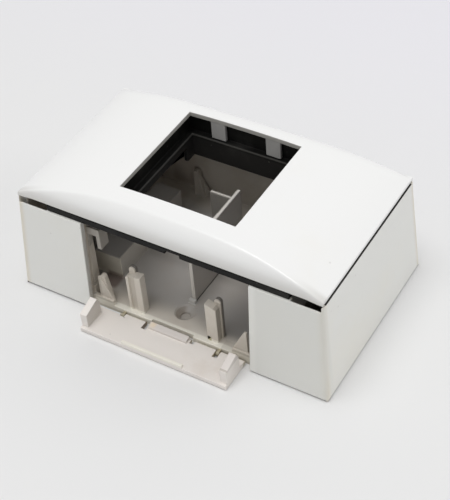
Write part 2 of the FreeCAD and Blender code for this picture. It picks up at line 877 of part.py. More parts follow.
def flap_ribs():
    latch = new_sketch(flap, "LatchSketch", "YZ_Plane")
    low = dims.flap_thickness - EMBED
    add_outline(latch, [
        (-dims.latch_front, low),
        (-dims.latch_rear, low),
        (-dims.latch_rear, dims.flap_thickness + dims.latch_height),
        (-dims.latch_front, dims.flap_thickness + dims.latch_front_height),
    ])
    pad(flap, "LatchBar", latch, dims.latch_half * 2, symmetric=True)
    rib = new_sketch(flap, "RibSketch", "XY_Plane", low)
    add_box(rib, -dims.rib_half, dims.rib_half, -dims.flap_front, dims.rib_width - dims.flap_front)
    pad(flap, "FrontRib", rib, dims.rib_height + EMBED)


flap_plate()
flap_cheeks()
flap_ribs()


# Check every object, then write one file for each piece
NODES = ("base_box", "support_frame", "cover_frame", "front_flap", "divider_plate")

doc.recompute()
for item in doc.Objects:
    if "Invalid" in item.State or "Error" in item.State:
        raise RuntimeError(f"{item.Label} did not build: {item.State}")
    shape = getattr(item, "Shape", None)
    if isinstance(shape, Part.Shape) and item.isDerivedFrom("PartDesign::Feature"):
        if shape.isNull() or not shape.isValid():
            raise RuntimeError(f"{item.Label} has no valid shape")

os.makedirs("parts", exist_ok=True)
for node in NODES:
    piece = doc.getObjectsByLabel(node)[0]
    if piece.Shape.isNull() or not piece.Shape.isValid() or len(piece.Shape.Solids) != 1:
        raise RuntimeError(f"{node} is not one valid solid")
    piece.Shape.exportStep(f"parts/{node}.step")
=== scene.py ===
"""Looks of a surface-mounting wiring box with a two-module cover frame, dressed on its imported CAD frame.

Metres, +Z up.  X runs along the box, the cable entry faces -Y, and the wall face is z = 0.
"""

import json
import math

import bpy
from mathutils import Matrix
from mathutils import Vector

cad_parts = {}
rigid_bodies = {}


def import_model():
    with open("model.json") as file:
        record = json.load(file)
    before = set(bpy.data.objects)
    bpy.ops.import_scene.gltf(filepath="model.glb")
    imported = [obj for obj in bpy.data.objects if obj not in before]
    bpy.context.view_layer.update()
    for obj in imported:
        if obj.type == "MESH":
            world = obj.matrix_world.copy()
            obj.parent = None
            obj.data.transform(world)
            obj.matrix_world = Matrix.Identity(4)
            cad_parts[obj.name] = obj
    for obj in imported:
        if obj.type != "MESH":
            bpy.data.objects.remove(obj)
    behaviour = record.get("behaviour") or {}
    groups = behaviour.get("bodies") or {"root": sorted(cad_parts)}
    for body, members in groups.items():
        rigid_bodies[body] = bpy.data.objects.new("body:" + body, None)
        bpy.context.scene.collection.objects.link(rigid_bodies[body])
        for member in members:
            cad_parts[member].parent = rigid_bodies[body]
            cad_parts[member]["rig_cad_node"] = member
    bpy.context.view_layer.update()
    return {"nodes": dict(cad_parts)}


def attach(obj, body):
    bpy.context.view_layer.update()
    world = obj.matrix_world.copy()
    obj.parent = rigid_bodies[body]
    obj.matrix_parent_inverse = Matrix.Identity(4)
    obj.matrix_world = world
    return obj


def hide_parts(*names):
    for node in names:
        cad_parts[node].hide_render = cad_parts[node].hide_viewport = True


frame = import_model()

MM = 0.001

# Places nearer than this count as the same
TINY = 0.02 * MM

# Directions that a piece is cut across
ACROSS_X = 0
ACROSS_Y = 1
ACROSS_Z = 2

# Cover frame
COVER_LENGTH = 118.8 * MM
COVER_DEPTH = 67.2 * MM
COVER_BOTTOM = 41.5 * MM
COVER_RIM = 1.3 * MM
COVER_WALL = 2.0 * MM
OPENING = 45.0 * MM

# Its arch along the length: the height in the middle, and how much of the fall is evenly round
CROWN_MIDDLE = 51.6 * MM
CROWN_ROUND = 0.25

# Circles of its rolled front and rear, from the rim up to their top
ROLL_TOP = 52.5 * MM
FRONT_ROLL_DEPTH = 5.6 * MM
FRONT_ROLL_RADIUS = 10.8 * MM
REAR_ROLL_DEPTH = 9.0 * MM
REAR_ROLL_RADIUS = 15.0 * MM

# Softness of the crease between arch and roll
CREASE_SOFTNESS = 0.7 * MM
CORNER_SOFTNESS = 3.6 * MM
CORNER_START = 36.0 * MM
REAR_SOFTNESS = 6.0 * MM

# Divisions of the flat sheet that the cover is shaped from
SHEET_COLUMNS = 64
SHEET_ROWS = 14
ROLL_ROWS = 26
ROLL_MARGIN = 1.2 * MM

# Reach within which the opening's wall is found, and its edges are rounded
OPENING_SLACK = 0.6 * MM
OPENING_MARGIN = 2.5 * MM

# Four short legs below the cover
LEG_INNER = 8.2 * MM
LEG_WIDTH = 5.9 * MM
LEG_NEAR = 22.6 * MM
LEG_THICKNESS = 1.4 * MM
LEG_FOOT = 42.15 * MM
LEG_TOP = 51.0 * MM

# Drafted walls of the box
BOX_LENGTH = 125.0 * MM
BOX_DEPTH = 73.4 * MM
WALL_LEAN = math.tan(math.radians(4.0))

# Edge radii of the mouldings, and the chamfers of their lower edges
COVER_EDGE = 0.3 * MM
BOX_EDGE = 0.25 * MM
FLAP_EDGE = 0.2 * MM
FRAME_EDGE = 0.25 * MM
DIVIDER_EDGE = 0.2 * MM
BOX_FOOT_EDGE = 0.8 * MM
FLAP_FOOT_EDGE = 0.4 * MM
FOOT_MARGIN = 0.1 * MM

# An edge is rounded where it is at least this sharp, and longer than this many radii
SHARP_ANGLE = math.radians(35.0)
SHORTEST_EDGE = 3.0
EDGE_STEPS = 3
FLAT_FACE_WEIGHT = 90

# Merging of a copied node, of its flat faces, and of what rounding brings together
COPY_MERGE = 0.001 * MM
FLAT_ANGLE = math.radians(0.3)
ROUNDED_MERGE = 0.005 * MM

# Round eyes and pins of the hinge, whose edges stay as they are
HINGE_FRONT = -36.6 * MM
HINGE_REAR = -33.5 * MM
HINGE_TOP = 2.3 * MM

# Slits beside the hinge of the flap
SLIT_CENTRE = 9.4 * MM
EAR_CENTRE = 19.6 * MM
SLIT_HALF = 0.9 * MM
SLIT_END = -38.0 * MM
SHORT_SLIT_END = -36.5 * MM
FLAP_FRONT = -47.7 * MM

# Skirt below the support frame, shorter than in the solid and open on its left
SKIRT_SOLID_FOOT = 30.4 * MM
SKIRT_FOOT = 32.4 * MM
SKIRT_TOP = 38.65 * MM
SKIRT_INNER = 21.5 * MM
SKIRT_OUTER = 24.0 * MM
LEFT_SKIRT_END = 17.0 * MM

# Places where a flat face with a hole in it is parted, so that its outline stays simple
BOX_PARTINGS = ((ACROSS_X, 0.0), (ACROSS_Y, 0.0), (ACROSS_Y, -31.0 * MM), (ACROSS_Y, 32.6 * MM),
                (ACROSS_Z, 34.2 * MM), (ACROSS_Z, 1.05 * MM))
FRAME_PARTINGS = ((ACROSS_X, 0.0), (ACROSS_Y, 0.0), (ACROSS_X, -40.0 * MM), (ACROSS_X, 40.0 * MM))
FLAP_PARTINGS = ((ACROSS_X, 0.0), (ACROSS_Z, 1.05 * MM))
DIVIDER_PARTINGS = ((ACROSS_Z, 15.0 * MM),)


# Selecting and shaping
def deselect_all():
    bpy.ops.object.select_all(action="DESELECT")


def make_active(piece):
    deselect_all()
    piece.select_set(True)
    bpy.context.view_layer.objects.active = piece


def start_editing(piece):
    make_active(piece)
    bpy.ops.object.mode_set(mode="EDIT")
    bpy.ops.mesh.select_all(action="SELECT")


def stop_editing():
    bpy.ops.object.mode_set(mode="OBJECT")


def clear_selection(kind):
    """In edit mode, deselects everything and turns to selecting VERT, EDGE or FACE."""
    bpy.ops.mesh.select_all(action="DESELECT")
    bpy.ops.mesh.select_mode(type=kind)


def select_faces(piece, wanted):
    """In edit mode, selects only the faces for which wanted(face) is true."""
    clear_selection("FACE")
    bpy.ops.object.mode_set(mode="OBJECT")
    for face in piece.data.polygons:
        face.select = wanted(face)
    bpy.ops.object.mode_set(mode="EDIT")


def select_edges(piece, wanted, among_selected):
    """In edit mode, selects edges by wanted(first end, last end), among all or those already selected."""
    bpy.ops.object.mode_set(mode="OBJECT")
    vertices = piece.data.vertices
    for edge in piece.data.edges:
        if edge.select or not among_selected:
            first, last = [vertices[index].co for index in edge.vertices]
            edge.select = wanted(first, last)
    bpy.ops.object.mode_set(mode="EDIT")


def select_rim(piece, wanted):
    """In edit mode, selects the open edges whose middle passes wanted(place)."""
    clear_selection("EDGE")
    bpy.ops.mesh.select_non_manifold(extend=False, use_wire=False, use_multi_face=False,
                                     use_non_contiguous=False, use_verts=False)
    select_edges(piece, lambda first, last: wanted((first + last) / 2), among_selected=True)


def move_corners(piece, wanted, shift):
    """Moves the corners of a piece whose place passes wanted(place)."""
    start_editing(piece)
    clear_selection("VERT")
    bpy.ops.object.mode_set(mode="OBJECT")
    for vertex in piece.data.vertices:
        vertex.select = wanted(vertex.co)
    bpy.ops.object.mode_set(mode="EDIT")
    bpy.ops.transform.translate(value=shift)
    stop_editing()


def apply_modifier(piece, modifier):
    make_active(piece)
    bpy.ops.object.modifier_apply(modifier=modifier.name)


def anywhere(place):
    return True


def own_box(piece):
    """Lowest and highest x, y and z of a piece."""
    places = [vertex.co for vertex in piece.data.vertices]
    low = [min(place[axis] for place in places) for axis in range(3)]
    high = [max(place[axis] for place in places) for axis in range(3)]
    return low, high


def keep_within(piece, low, high):
    """Draws back what rounding pushed outside a piece's own box, and merges what then falls together."""
    for vertex in piece.data.vertices:
        for axis in range(3):
            vertex.co[axis] = min(max(vertex.co[axis], low[axis]), high[axis])
    start_editing(piece)
    bpy.ops.mesh.remove_doubles(threshold=ROUNDED_MERGE)
    bpy.ops.mesh.dissolve_degenerate(threshold=ROUNDED_MERGE)
    stop_editing()


def round_edges(piece, radius, shortest=SHORTEST_EDGE, wanted=anywhere):
    """Gives the sharp edges of a moulding their small radius, and keeps its flat faces flat."""
    low, high = own_box(piece)
    least = shortest * radius
    start_editing(piece)
    clear_selection("EDGE")
    bpy.ops.mesh.edges_select_sharp(sharpness=SHARP_ANGLE)
    select_edges(piece, lambda first, last: (last - first).length > least and wanted((first + last) / 2),
                 among_selected=True)
    bpy.ops.mesh.bevel(offset=radius, segments=EDGE_STEPS, profile=0.5, clamp_overlap=False)
    stop_editing()
    keep_within(piece, low, high)
    bpy.ops.object.shade_smooth_by_angle(angle=SHARP_ANGLE)
    normals = piece.modifiers.new("flat_faces", "WEIGHTED_NORMAL")
    normals.keep_sharp = True
    normals.weight = FLAT_FACE_WEIGHT
    apply_modifier(piece, normals)


def chamfer_foot(piece, size, wanted):
    """Breaks the long lower edges, so that the moulding meets the table in a thin dark line."""
    start_editing(piece)
    clear_selection("EDGE")
    select_edges(piece, lambda first, last: max(first.z, last.z) < TINY and wanted((first + last) / 2),
                 among_selected=False)
    bpy.ops.mesh.bevel(offset=size, segments=1, clamp_overlap=False)
    stop_editing()


def cut_across(axis, place):
    """In edit mode, a straight row of edges across the whole piece at x, y or z = place."""
    point = Vector((0.0, 0.0, 0.0))
    normal = Vector((0.0, 0.0, 0.0))
    point[axis] = place
    normal[axis] = 1.0
    bpy.ops.mesh.select_all(action="SELECT")
    bpy.ops.mesh.bisect(plane_co=point, plane_no=normal)


def plain_block(middle, size):
    """A block that is joined to a piece, or cut out of one."""
    deselect_all()
    bpy.ops.mesh.primitive_cube_add(size=1.0, location=middle)
    block = bpy.context.active_object
    start_editing(block)
    bpy.ops.transform.resize(value=size)
    stop_editing()
    bpy.ops.object.transform_apply(location=True, rotation=False, scale=False)
    return block


def moulded_copy(node, name, partings):
    """A merged copy of a CAD node whose flat faces are whole again, ready to have its edges rounded."""
    make_active(frame["nodes"][node])
    bpy.ops.object.duplicate()
    piece = bpy.context.view_layer.objects.active
    piece.name = name
    piece.data.name = name
    del piece["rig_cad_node"]
    bpy.ops.mesh.customdata_custom_splitnormals_clear()
    start_editing(piece)
    bpy.ops.mesh.remove_doubles(threshold=COPY_MERGE)
    for axis, place in partings:
        cut_across(axis, place)
        bpy.ops.mesh.mark_seam(clear=False)
    bpy.ops.mesh.select_all(action="SELECT")
    bpy.ops.mesh.dissolve_limited(angle_limit=FLAT_ANGLE, delimit={"SEAM"})
    stop_editing()
    return piece


def hand_over(piece, node, body, material):
    """The piece stands for its CAD node, rides on that body and wears that finish."""
    piece.data.materials.clear()
    piece.data.materials.append(material)
    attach(piece, body)
    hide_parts(node)


# Cover frame
def crown_height(x):
    """Height of the arch along the cover: nearly flat over the opening, and rounder towards the ends."""
    rise = CROWN_MIDDLE - COVER_BOTTOM - COVER_RIM
    share = (2 * x / COVER_LENGTH) ** 2
    return CROWN_MIDDLE - rise * (CROWN_ROUND * share + (1.0 - CROWN_ROUND) * share * share)


def roll_height(y):
    """Height of the rolled front and rear, as a circle through the rim and the roll's top."""
    depth = FRONT_ROLL_DEPTH if y < 0.0 else REAR_ROLL_DEPTH
    radius = FRONT_ROLL_RADIUS if y < 0.0 else REAR_ROLL_RADIUS
    rim = Vector((COVER_DEPTH / 2, COVER_BOTTOM + COVER_RIM))
    edge = Vector((COVER_DEPTH / 2 - depth, ROLL_TOP))
    chord = edge - rim
    inward = Vector((-chord.y, chord.x)).normalized()
    reach = math.sqrt(radius ** 2 - (chord.length / 2) ** 2)
    centre = (rim + edge) / 2 + inward * reach
    out = min(max(abs(y) - centre.x, 0.0), radius)
    return centre.y + math.sqrt(radius ** 2 - out ** 2)


def crease_softness(x, y):
    """Small along the middle of the front, growing into the rounded corners, and large along the rear."""
    share = max(abs(x) - CORNER_START, 0.0) / (COVER_LENGTH / 2 - CORNER_START)
    front = CREASE_SOFTNESS + CORNER_SOFTNESS * share * share
    if y < 0.0:
        return front
    return max(front, min(roll_height(0.0) - crown_height(x), REAR_SOFTNESS))


def dome_height(x, y):
    """The lower of crown and roll, with the crease between them softened."""
    crown = crown_height(x)
    roll = roll_height(y)
    softness = crease_softness(x, y)
    near = max(softness - abs(crown - roll), 0.0)
    lowered = min(crown, roll) - near * near / (4 * softness)
    return max(lowered, COVER_BOTTOM + COVER_RIM)


def cover_sheet():
    """A flat sheet with close rows over the rolled edges, cut open for the two modules."""
    half = OPENING / 2
    deselect_all()
    bpy.ops.mesh.primitive_grid_add(x_subdivisions=SHEET_COLUMNS, y_subdivisions=SHEET_ROWS, size=1.0)
    cover = bpy.context.active_object
    cover.name = "cover_moulding"
    cover.data.name = "cover_moulding"
    start_editing(cover)
    bpy.ops.transform.resize(value=(COVER_LENGTH, COVER_DEPTH, 1.0))
    for side, roll_depth in ((-1, FRONT_ROLL_DEPTH), (1, REAR_ROLL_DEPTH)):
        cut_across(ACROSS_X, side * half)
        cut_across(ACROSS_Y, side * half)
        depth = roll_depth + ROLL_MARGIN
        for row in range(ROLL_ROWS):
            cut_across(ACROSS_Y, side * (COVER_DEPTH / 2 - depth * (1.0 - row / ROLL_ROWS)))
    bpy.ops.mesh.select_all(action="SELECT")
    bpy.ops.mesh.remove_doubles(threshold=TINY)
    select_faces(cover, lambda face: abs(face.center.x) < half and abs(face.center.y) < half)
    bpy.ops.mesh.delete(type="FACE")
    stop_editing()
    return cover


def straighten_wall(cover):
    """Sets the opening's wall upright and levels the foot of the rim, after the wall has its thickness."""
    half = OPENING / 2
    for vertex in cover.data.vertices:
        place = vertex.co
        for axis in (ACROSS_X, ACROSS_Y):
            across = abs(place[1 - axis]) < half + OPENING_SLACK
            if across and abs(abs(place[axis]) - half) < OPENING_SLACK:
                place[axis] = math.copysign(half, place[axis])
        place.z = max(place.z, COVER_BOTTOM)


def cover_leg(side_x, side_y):
    """One leg, on the left (-1) or right (1) and at the front (-1) or rear (1) of the opening."""
    middle_x = side_x * (LEG_INNER + LEG_WIDTH / 2)
    middle_y = side_y * (LEG_NEAR + LEG_THICKNESS / 2)
    middle = (middle_x, middle_y, (LEG_FOOT + LEG_TOP) / 2)
    return plain_block(middle, (LEG_WIDTH, LEG_THICKNESS, LEG_TOP - LEG_FOOT))


def off_the_dome(place):
    """True on the outer rim, the opening and the legs, whose edges are rounded."""
    near_opening = max(abs(place.x), abs(place.y)) < OPENING / 2 + OPENING_MARGIN
    outside = abs(place.x) > COVER_LENGTH / 2 - COVER_EDGE or abs(place.y) > COVER_DEPTH / 2 - COVER_EDGE
    return near_opening or (outside and place.z < COVER_BOTTOM + COVER_RIM + TINY)


def cover_moulding():
    """A sheet raised to the dome, its rim drawn down, given its wall thickness and its legs."""
    cover = cover_sheet()
    for vertex in cover.data.vertices:
        vertex.co.z = dome_height(vertex.co.x, vertex.co.y)
    inside = OPENING / 2 + TINY
    start_editing(cover)
    select_rim(cover, lambda place: abs(place.x) > inside or abs(place.y) > inside)
    bpy.ops.mesh.extrude_region_move(TRANSFORM_OT_translate={"value": (0.0, 0.0, -COVER_RIM)})
    bpy.ops.mesh.select_all(action="SELECT")
    bpy.ops.mesh.normals_make_consistent(inside=False)
    stop_editing()
    wall = cover.modifiers.new("wall", "SOLIDIFY")
    wall.thickness = COVER_WALL
    wall.offset = -1.0
    wall.use_even_offset = True
    wall.use_quality_normals = True
    apply_modifier(cover, wall)
    straighten_wall(cover)
    legs = [cover_leg(side_x, side_y) for side_x in (-1, 1) for side_y in (-1, 1)]
    make_active(cover)
    for leg in legs:
        leg.select_set(True)
    bpy.ops.object.join()
    round_edges(cover, COVER_EDGE, shortest=0.0, wanted=off_the_dome)
    return cover


# Box
def off_the_hinge(place):
    """True away from the small round hinge eyes and pins, which keep their own shape."""
    return place.y < HINGE_FRONT or place.y > HINGE_REAR or place.z > HINGE_TOP


def on_box_outline(place):
    """True along the outer foot of the four walls."""
    return abs(place.x) > BOX_LENGTH / 2 - FOOT_MARGIN or abs(place.y) > BOX_DEPTH / 2 - FOOT_MARGIN


def box_moulding():
    """The box with a broken foot and rounded edges."""
    box = moulded_copy("base_box", "box_moulding", BOX_PARTINGS)
    chamfer_foot(box, BOX_FOOT_EDGE, on_box_outline)
    round_edges(box, BOX_EDGE, wanted=off_the_hinge)
    return box


# Support frame
def open_left_skirt(support):
    """Cuts the left wall of the skirt away, up to the plate."""
    low = Vector((-SKIRT_OUTER, -SKIRT_OUTER, SKIRT_SOLID_FOOT))
    high = Vector((-SKIRT_INNER, LEFT_SKIRT_END, SKIRT_TOP))
    cutter = plain_block((low + high) / 2, high - low)
    cut = support.modifiers.new("left_opening", "BOOLEAN")
    cut.operation = "DIFFERENCE"
    cut.solver = "EXACT"
    cut.object = cutter
    apply_modifier(support, cut)
    make_active(cutter)
    bpy.ops.object.delete()


def frame_moulding():
    """The support frame with its skirt drawn up and opened, and rounded edges."""
    support = moulded_copy("support_frame", "frame_moulding", FRAME_PARTINGS)
    move_corners(support, lambda place: place.z < SKIRT_SOLID_FOOT + TINY,
                 (0.0, 0.0, SKIRT_FOOT - SKIRT_SOLID_FOOT))
    open_left_skirt(support)
    round_edges(support, FRAME_EDGE)
    return support


# Flap
def shorten_slit(flap, centre):
    """Draws the blind end of one slit back towards the hinge."""
    def at_blind_end(place):
        return abs(place.x - centre) < SLIT_HALF + TINY and abs(place.y - SLIT_END) < TINY
    move_corners(flap, at_blind_end, (0.0, SHORT_SLIT_END - SLIT_END, 0.0))


def flap_moulding():
    """The flap with two shorter slits, a broken front foot and rounded edges."""
    flap = moulded_copy("front_flap", "flap_moulding", FLAP_PARTINGS)
    shorten_slit(flap, -EAR_CENTRE)
    shorten_slit(flap, SLIT_CENTRE)
    chamfer_foot(flap, FLAP_FOOT_EDGE, lambda place: place.y < FLAP_FRONT + FOOT_MARGIN)
    round_edges(flap, FLAP_EDGE, wanted=off_the_hinge)
    return flap


# Divider
def divider_moulding():
    """The divider with rounded edges."""
    divider = moulded_copy("divider_plate", "divider_moulding", DIVIDER_PARTINGS)
    round_edges(divider, DIVIDER_EDGE)
    return divider


# Colours are written as they look on a screen
def colour(red, green, blue):
    """Screen values, 0 to 255, as the linear colour that a shader takes."""
    def linear(value):
        share = value / 255.0
        if share <= 0.04045:
            return share / 12.92
        return ((share + 0.055) / 1.055) ** 2.4
    return (linear(red), linear(green), linear(blue), 1.0)


# Besides the plastics' own colours and real stains, many colours here are painted light: the inner, entry,
# dark, gap, hook, tongue, shell-grey, leg, wall-grey, opening and divider colours are painted shade, the
# rib cream and dusty black are painted light, aged white also serves as painted light, rust and dark stain
# also as painted shade, and pale dust also as a painted highlight
WHITE_SHELL = colour(233, 233, 229)
WHITE_COVER = colour(241, 241, 240)
WARM_WHITE = colour(234, 228, 222)
WHITE_DIVIDER = colour(222, 218, 211)
DIVIDER_FACE_SHADE = colour(200, 195, 190)
DIVIDER_SHADE = colour(128, 124, 118)
BLACK_FRAME = colour(18, 18, 17)
COLLAR_LIT_BLACK = colour(37, 36, 35)
AGED_AND_LIT_WHITE = colour(232, 226, 208)
WARM_EDGE = colour(224, 217, 201)
BROWN_STAIN = colour(168, 140, 108)
INNER_SHADE = colour(183, 179, 174)
ENTRY_SHADE = colour(213, 206, 195)
DARK_SHADE = colour(150, 142, 128)
GREY_SHADE = colour(128, 124, 120)
HOOK_SHADE = colour(149, 145, 138)
TONGUE_SHADE = colour(132, 127, 121)
SHELL_SHADE = colour(222, 222, 217)
GAP_SHADE = colour(40, 38, 34)
OLIVE_STAIN = colour(158, 146, 112)
DARK_STAIN_AND_SHADE = colour(124, 104, 78)
RUST_STAIN_AND_SHADE = colour(112, 86, 76)
CREAM_STAIN = colour(240, 218, 184)
CHEEK_SHADE = colour(198, 190, 185)
CHEEK_LIGHT = colour(246, 240, 234)
HIGHLIGHT_CREAM = colour(242, 238, 226)
EYE_CREAM = colour(224, 218, 188)
LEG_SHADE = colour(172, 171, 169)
ROLL_SHADE = colour(206, 204, 199)
OPENING_SHADE = colour(179, 177, 172)
GREY_DUST = colour(158, 155, 150)
PALE_DUST_AND_SHEEN = colour(120, 118, 114)
FLOOR_NEAR = colour(232, 232, 232)
FLOOR_FAR = colour(234, 233, 238)
FLOOR_SHADE_UNDER = colour(190, 184, 176)

# Grain of the mouldings: its share of the bump, and how deep that is
GRAIN_HEIGHT = 0.6
GRAIN_DEPTH = 0.02 * MM

# Dull black plastic and the table reflect less than the white plastic does
FRAME_SHINE = 0.13
FLOOR_SHINE = 0.1

# Edge of the support frame's ledge, where a painted highlight lies
LEDGE_INNER = 21.4 * MM
LEDGE_OUTER = 22.0 * MM
LEDGE_BOTTOM = 41.5 * MM
LEDGE_TOP = 42.1 * MM
LEDGE_SOFT = 0.1 * MM

# Places of painted shade and light that repeat on the left and right, in millimetres as a spot takes them
TONGUE_CENTRE = 17.3
TONGUE_HALF = 1.4
CHEEK_INNER = 27.0
CHEEK_SKIN = 0.05
CHEEK_CENTRE = 28.4
CHEEK_HALF = 1.5

# Millimetre ranges that several stains and marks of painted shade and light lie in
ENTRY_WIDTH = (-33.0, 33.0)
HINGE_WIDTH = (-30.0, 30.0)
FLAP_SLITS = (-38.1, -34.0)
FLAP_PLATE = (-0.2, 1.9)
CHEEK_TOPS = (7.5, 10.2)
DIVIDER_HEIGHT = (0.0, 28.2)
DIVIDER_TOP = (27.6, 28.2)

# Colour sockets of a Mix node, by number because the names repeat
MIX_BELOW = 6
MIX_ABOVE = 7
MIX_RESULT = 2


# Effects that more than one finish uses
def new_group(name, inputs, outputs):
    """An empty shader group with named number inputs (with their values) and number outputs."""
    group = bpy.data.node_groups.new(name, "ShaderNodeTree")
    for label, value in inputs.items():
        socket = group.interface.new_socket(name=label, in_out="INPUT", socket_type="NodeSocketFloat")
        socket.default_value = value
    for label in outputs:
        group.interface.new_socket(name=label, in_out="OUTPUT", socket_type="NodeSocketFloat")
    entry = group.nodes.new("NodeGroupInput")
    leave = group.nodes.new("NodeGroupOutput")
    return group, entry, leave


def feed(tree, socket, value):
    """Links a socket to another node's output, or gives it a plain number or colour."""
    if isinstance(value, bpy.types.NodeSocket):
        tree.links.new(value, socket)
    else:
        socket.default_value = value


def add_noise(tree, place, scale, detail, roughness):
    """Cloudy noise, from 0 to 1."""
    noise = tree.nodes.new("ShaderNodeTexNoise")
    feed(tree, noise.inputs["Vector"], place)
    feed(tree, noise.inputs["Scale"], scale)
    feed(tree, noise.inputs["Detail"], detail)
    feed(tree, noise.inputs["Roughness"], roughness)
    return noise.outputs["Fac"]


def add_math(tree, operation, first, second=0.0):
    """One step of arithmetic, on numbers that may come from other nodes."""
    node = tree.nodes.new("ShaderNodeMath")
    node.operation = operation
    feed(tree, node.inputs[0], first)
    feed(tree, node.inputs[1], second)
    return node.outputs["Value"]


def add_ramp(tree, value, low, high):
    """0 below low, 1 above high, smooth between."""
    node = tree.nodes.new("ShaderNodeMapRange")
    node.interpolation_type = "SMOOTHSTEP"
    feed(tree, node.inputs["From Min"], low)
    feed(tree, node.inputs["From Max"], high)
    feed(tree, node.inputs["Value"], value)
    return node.outputs["Result"]


def add_fall(tree, value, low, high):
    """1 below low, 0 above high, smooth between."""
    return add_math(tree, "SUBTRACT", 1.0, add_ramp(tree, value, low, high))


def object_place(tree):
    """Place on the piece, which is also its place in the shared frame."""
    return tree.nodes.new("ShaderNodeTexCoord").outputs["Object"]


def moulding_grain_group():
    """Fine grain of a moulded face: a height for bump and a mask for gloss."""
    group, entry, leave = new_group("moulding_grain", {"Grain Scale": 2600.0, "Cloud Scale": 90.0},
                                    ("Height", "Gloss"))
    place = object_place(group)
    fine = add_noise(group, place, entry.outputs["Grain Scale"], detail=2.0, roughness=0.55)
    cloud = add_noise(group, place, entry.outputs["Cloud Scale"], detail=5.0, roughness=0.55)
    group.links.new(add_math(group, "MULTIPLY", fine, GRAIN_HEIGHT), leave.inputs["Height"])
    group.links.new(cloud, leave.inputs["Gloss"])
    return group


def specks_group():
    """Small scattered specks of dirt: a mask."""
    group, entry, leave = new_group("specks", {"Scale": 420.0, "Size": 0.16, "Share": 0.93}, ("Mask",))
    place = object_place(group)
    cells = group.nodes.new("ShaderNodeTexVoronoi")
    group.links.new(place, cells.inputs["Vector"])
    group.links.new(entry.outputs["Scale"], cells.inputs["Scale"])
    near = add_math(group, "LESS_THAN", cells.outputs["Distance"], entry.outputs["Size"])
    parts = group.nodes.new("ShaderNodeSeparateColor")
    group.links.new(cells.outputs["Color"], parts.inputs["Color"])
    chosen = add_math(group, "GREATER_THAN", parts.outputs["Red"], entry.outputs["Share"])
    weight = add_math(group, "MULTIPLY", parts.outputs["Green"], chosen)
    group.links.new(add_math(group, "MULTIPLY", near, weight), leave.inputs["Mask"])
    return group


def patches_group():
    """Broad uneven patches, as of yellowing or grime: a mask."""
    group, entry, leave = new_group("patches", {"Scale": 28.0, "From": 0.5, "To": 0.72}, ("Mask",))
    place = object_place(group)
    cloud = add_noise(group, place, entry.outputs["Scale"], detail=6.0, roughness=0.6)
    ramp = add_ramp(group, cloud, entry.outputs["From"], entry.outputs["To"])
    group.links.new(ramp, leave.inputs["Mask"])
    return group


GRAIN = moulding_grain_group()
SPECKS = specks_group()
PATCHES = patches_group()


def use_group(tree, group, **values):
    """Places a shared effect in a finish, with that finish's own values."""
    node = tree.nodes.new("ShaderNodeGroup")
    node.node_tree = group
    for name, value in values.items():
        node.inputs[name.replace("_", " ")].default_value = value
    return node.outputs


def tint(tree, below, above, mask, amount):
    """Mixes one colour over another by a mask times an amount."""
    node = tree.nodes.new("ShaderNodeMix")
    node.data_type = "RGBA"
    feed(tree, node.inputs["Factor"], add_math(tree, "MULTIPLY", mask, amount))
    feed(tree, node.inputs[MIX_BELOW], below)
    feed(tree, node.inputs[MIX_ABOVE], above)
    return node.outputs[MIX_RESULT]


def within(tree, value, low, high, soft):
    """1 between low and high, fading to 0 over a soft margin outside them."""
    above = add_ramp(tree, value, low - soft, low)
    below = add_fall(tree, value, high, high + soft)
    return add_math(tree, "MULTIPLY", above, below)


def spot(tree, place, x_range, y_range, z_range, soft):
    """1 inside a box of millimetre ranges, with a soft margin round it."""
    mask = 1.0
    for axis, limits in (("X", x_range), ("Y", y_range), ("Z", z_range)):
        part = within(tree, place[axis], limits[0] * MM, limits[1] * MM, soft * MM)
        mask = add_math(tree, "MULTIPLY", part, mask)
    return mask


def on_side(side, centre, half):
    """Millimetre range round a centre on the left (-1) or right (1)."""
    return (side * centre - half, side * centre + half)


def split_place(tree):
    """X, Y and Z on the piece."""
    parts = tree.nodes.new("ShaderNodeSeparateXYZ")
    feed(tree, parts.inputs["Vector"], object_place(tree))
    return {name: parts.outputs[name] for name in ("X", "Y", "Z")}


def new_finish(name, roughness):
    """A material with its nodes and its shader, which has one roughness all over until that is varied."""
    material = bpy.data.materials.new(name)
    material.use_nodes = True
    tree = material.node_tree
    shader = tree.nodes["Principled BSDF"]
    shader.inputs["Roughness"].default_value = roughness
    return material, tree, shader


def finish_surface(tree, shader, base, grain, swing, bump):
    """Gives the shader its colour, lets the grain swing its roughness, and raises the grain as a bump."""
    feed(tree, shader.inputs["Base Color"], base)
    roughness = shader.inputs["Roughness"].default_value
    spread = tree.nodes.new("ShaderNodeMapRange")
    feed(tree, spread.inputs["To Min"], roughness - swing)
    feed(tree, spread.inputs["To Max"], roughness + swing)
    feed(tree, spread.inputs["Value"], grain["Gloss"])
    feed(tree, shader.inputs["Roughness"], spread.outputs["Result"])
    raised = tree.nodes.new("ShaderNodeBump")
    feed(tree, raised.inputs["Strength"], bump)
    feed(tree, raised.inputs["Distance"], GRAIN_DEPTH)
    feed(tree, raised.inputs["Height"], grain["Height"])
    feed(tree, shader.inputs["Normal"], raised.outputs["Normal"])


def wall_depth(tree, place, axis, half):
    """Depth below the drafted outer faces, along X or Y."""
    lean = add_math(tree, "MULTIPLY", place["Z"], WALL_LEAN)
    reach = add_math(tree, "SUBTRACT", half, lean)
    return add_math(tree, "SUBTRACT", reach, add_math(tree, "ABSOLUTE", place[axis]))


